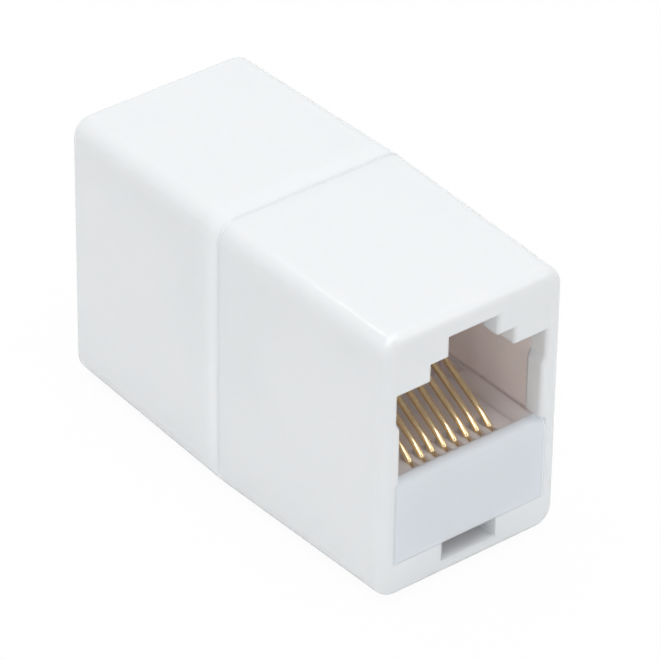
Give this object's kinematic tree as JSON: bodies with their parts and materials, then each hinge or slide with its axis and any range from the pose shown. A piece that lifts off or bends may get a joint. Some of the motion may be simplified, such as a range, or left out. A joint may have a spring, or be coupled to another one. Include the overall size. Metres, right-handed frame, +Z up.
{
  "type": "rj45 inline coupler",
  "caption": "White moulded inline coupler with an 8P8C modular jack at each end, for joining two network patch cords end to end.",
  "frame": {"origin": "under the middle of the coupler, on the plane it stands on (centre of the seam's lowest line)", "axes": "+Z up, with both latch notches at the top; +Y along the coupler from port A to port B; port A faces -Y; +X to the right when looking into port A"},
  "size_m": [0.0166, 0.036, 0.0226],
  "materials": {
    "shell_white": "smooth moulded white ABS, glossy",
    "insert_white": "smooth moulded white plastic",
    "contact_gold": "gold-plated spring wire, bright",
    "board_green": "glass-epoxy circuit board with dark green mask"
  },
  "bodies": {
    "root": {"front_shell": "shell_white", "rear_shell": "shell_white", "front_insert": "insert_white", "rear_insert": "insert_white", "front_contact_1": "contact_gold", "front_contact_2": "contact_gold", "front_contact_3": "contact_gold", "front_contact_4": "contact_gold", "front_contact_5": "contact_gold", "front_contact_6": "contact_gold", "front_contact_7": "contact_gold", "front_contact_8": "contact_gold", "rear_contact_1": "contact_gold", "rear_contact_2": "contact_gold", "rear_contact_3": "contact_gold", "rear_contact_4": "contact_gold", "rear_contact_5": "contact_gold", "rear_contact_6": "contact_gold", "rear_contact_7": "contact_gold", "rear_contact_8": "contact_gold", "circuit_board": "board_green"}
  },
  "joints": []
}
